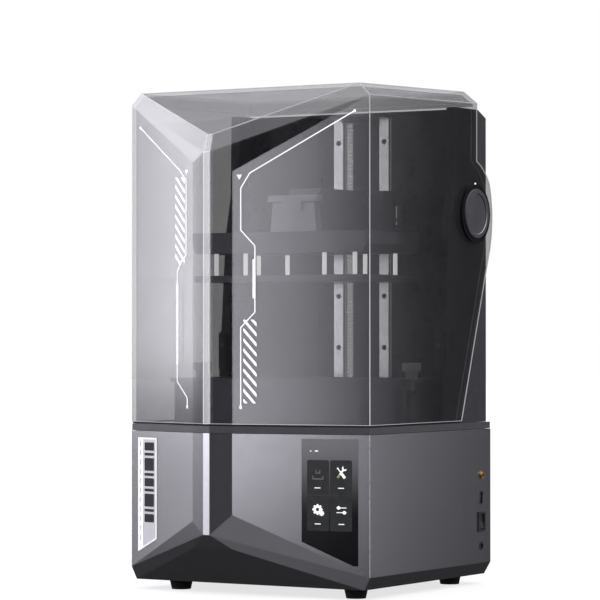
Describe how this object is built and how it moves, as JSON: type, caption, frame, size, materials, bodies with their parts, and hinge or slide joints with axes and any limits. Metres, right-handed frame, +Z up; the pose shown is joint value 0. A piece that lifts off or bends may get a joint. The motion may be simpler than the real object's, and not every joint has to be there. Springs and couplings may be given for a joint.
{
  "type": "resin printer",
  "caption": "Desktop resin printer: faceted metal base with touch screen, smoked flip-up lid, rail-guided build platform, film-floored vat and light engine.",
  "frame": {"origin": "middle of the overall footprint, at the height the rubber feet stand on", "axes": "+Z up, the prow and touch screen face -Y, +X to the right seen from the front"},
  "size_m": [0.3124, 0.3112, 0.554],
  "materials": {
    "base_paint": "satin metallic graphite paint",
    "deck_paint": "satin dark grey paint",
    "rubber_black": "matt black",
    "lid_smoke": "smoked transparent, polished",
    "tower_black": "fine texture, black",
    "liner_dark": "satin dark grey",
    "column_metal": "anodised dark grey",
    "rail_steel": "ground",
    "screw_steel": "ground thread",
    "pin_chrome": "polished",
    "platform_alu": "bead blasted, anodised",
    "glass_black": "gloss black",
    "mask_glass": "gloss",
    "lens_clear": "clear",
    "film_clear": "clear film",
    "badge_silver": "satin silver",
    "knob_black": "satin",
    "hub_dark": "satin",
    "board_green": "circuit board",
    "trim_black": "moulded",
    "steel_dark": "blackened",
    "brass": "machined",
    "spring_steel": "wire"
  },
  "bodies": {
    "base": {"antenna_socket": "pin_chrome", "badge_plate": "badge_silver", "base_bottom_plate": "deck_paint", "base_shell": "base_paint", "clamp_posts": "steel_dark", "collimator_lens": "lens_clear", "column_plate": "column_metal", "column_top_plate": "steel_dark", "deck_plate": "deck_paint", "deck_screws": "steel_dark", "fan_frame": "trim_black", "fan_grille": "steel_dark", "foot_screws": "steel_dark", "hinge_bearings": "trim_black", "hinge_dampers": "trim_black", "lcd_mask_panel": "mask_glass", "led_board": "board_green", "led_heatsink": "column_metal", "light_engine_housing": "trim_black", "mainboard": "board_green", "mainboard_standoffs": "brass", "motor_bracket": "steel_dark", "power_inlet": "trim_black", "power_switch_body": "trim_black", "rail_screws": "steel_dark", "rubber_feet": "rubber_black", "screw_top_bearing": "steel_dark", "touchscreen_glass": "glass_black", "touchscreen_module": "trim_black", "tower_housing": "tower_black", "tower_liner": "liner_dark", "usb_port": "rail_steel", "vat_film": "film_clear", "vat_film_ring": "platform_alu", "vat_screws": "steel_dark", "vat_tray": "platform_alu", "z_motor": "steel_dark", "z_rails": "rail_steel"},
    "lid": {"lid_shell": "lid_smoke", "lid_gasket": "rubber_black", "hub_caps": "hub_dark", "hub_rings": "tower_black", "hinge_spindles": "steel_dark"},
    "carriage": {"carriage_arm": "platform_alu", "guide_blocks": "rail_steel", "lead_nut": "brass", "platform_neck": "platform_alu", "lever_pin": "pin_chrome", "platform_carrier": "platform_alu"},
    "lever": {"clamp_lever": "platform_alu"},
    "plate": {"build_plate": "platform_alu", "guide_pins": "pin_chrome", "plate_springs": "spring_steel"},
    "z_screw": {"lead_screw": "screw_steel", "shaft_coupler": "column_metal", "motor_rotor": "steel_dark"},
    "knob_right": {"vat_knob_right": "knob_black"},
    "knob_left": {"vat_knob_left": "knob_black"},
    "rocker": {"power_switch_rocker": "trim_black"},
    "fan": {"fan_rotor": "trim_black"}
  },
  "joints": [
    {"name": "lid_hinge", "type": "hinge", "parent": "base", "child": "lid", "pos_m": [0, 0.1145, 0.4164], "axis": [-1, 0, 0], "range_deg": [0, 75]},
    {"name": "z_slide", "type": "slide", "parent": "base", "child": "carriage", "axis": [0, 0, 1], "range_m": [-0.1525, 0.07]},
    {"name": "screw_turn", "type": "hinge", "parent": "base", "child": "z_screw", "pos_m": [0, 0.097, 0.3], "axis": [0, 0, 1], "range_deg": [-3160, 6880]},
    {"name": "lever_flip", "type": "hinge", "parent": "carriage", "child": "lever", "pos_m": [0, -0.011, 0.432], "axis": [-1, 0, 0], "range_deg": [0, 90]},
    {"name": "plate_float", "type": "slide", "parent": "carriage", "child": "plate", "axis": [0, 0, 1], "range_m": [0, 0.003], "stiffness_N_per_m": 6000, "springref_m": -0.003, "deforming": ["plate_springs"]},
    {"name": "knob_right_turn", "type": "hinge", "parent": "base", "child": "knob_right", "pos_m": [0.137, -0.002, 0.24], "axis": [0, 0, 1], "continuous": true},
    {"name": "knob_left_turn", "type": "hinge", "parent": "base", "child": "knob_left", "pos_m": [-0.137, -0.002, 0.24], "axis": [0, 0, 1], "continuous": true},
    {"name": "rocker_tip", "type": "hinge", "parent": "base", "child": "rocker", "pos_m": [0.151, 0.1284, 0.0707], "axis": [0, 1, 0], "range_deg": [0, 14]},
    {"name": "fan_spin", "type": "hinge", "parent": "base", "child": "fan", "pos_m": [0.06, 0.13, 0.076], "axis": [0, 1, 0], "continuous": true}
  ],
  "couplings": [
    {"joint": "screw_turn", "follows": "z_slide", "rad_per_m": -785.4}
  ]
}
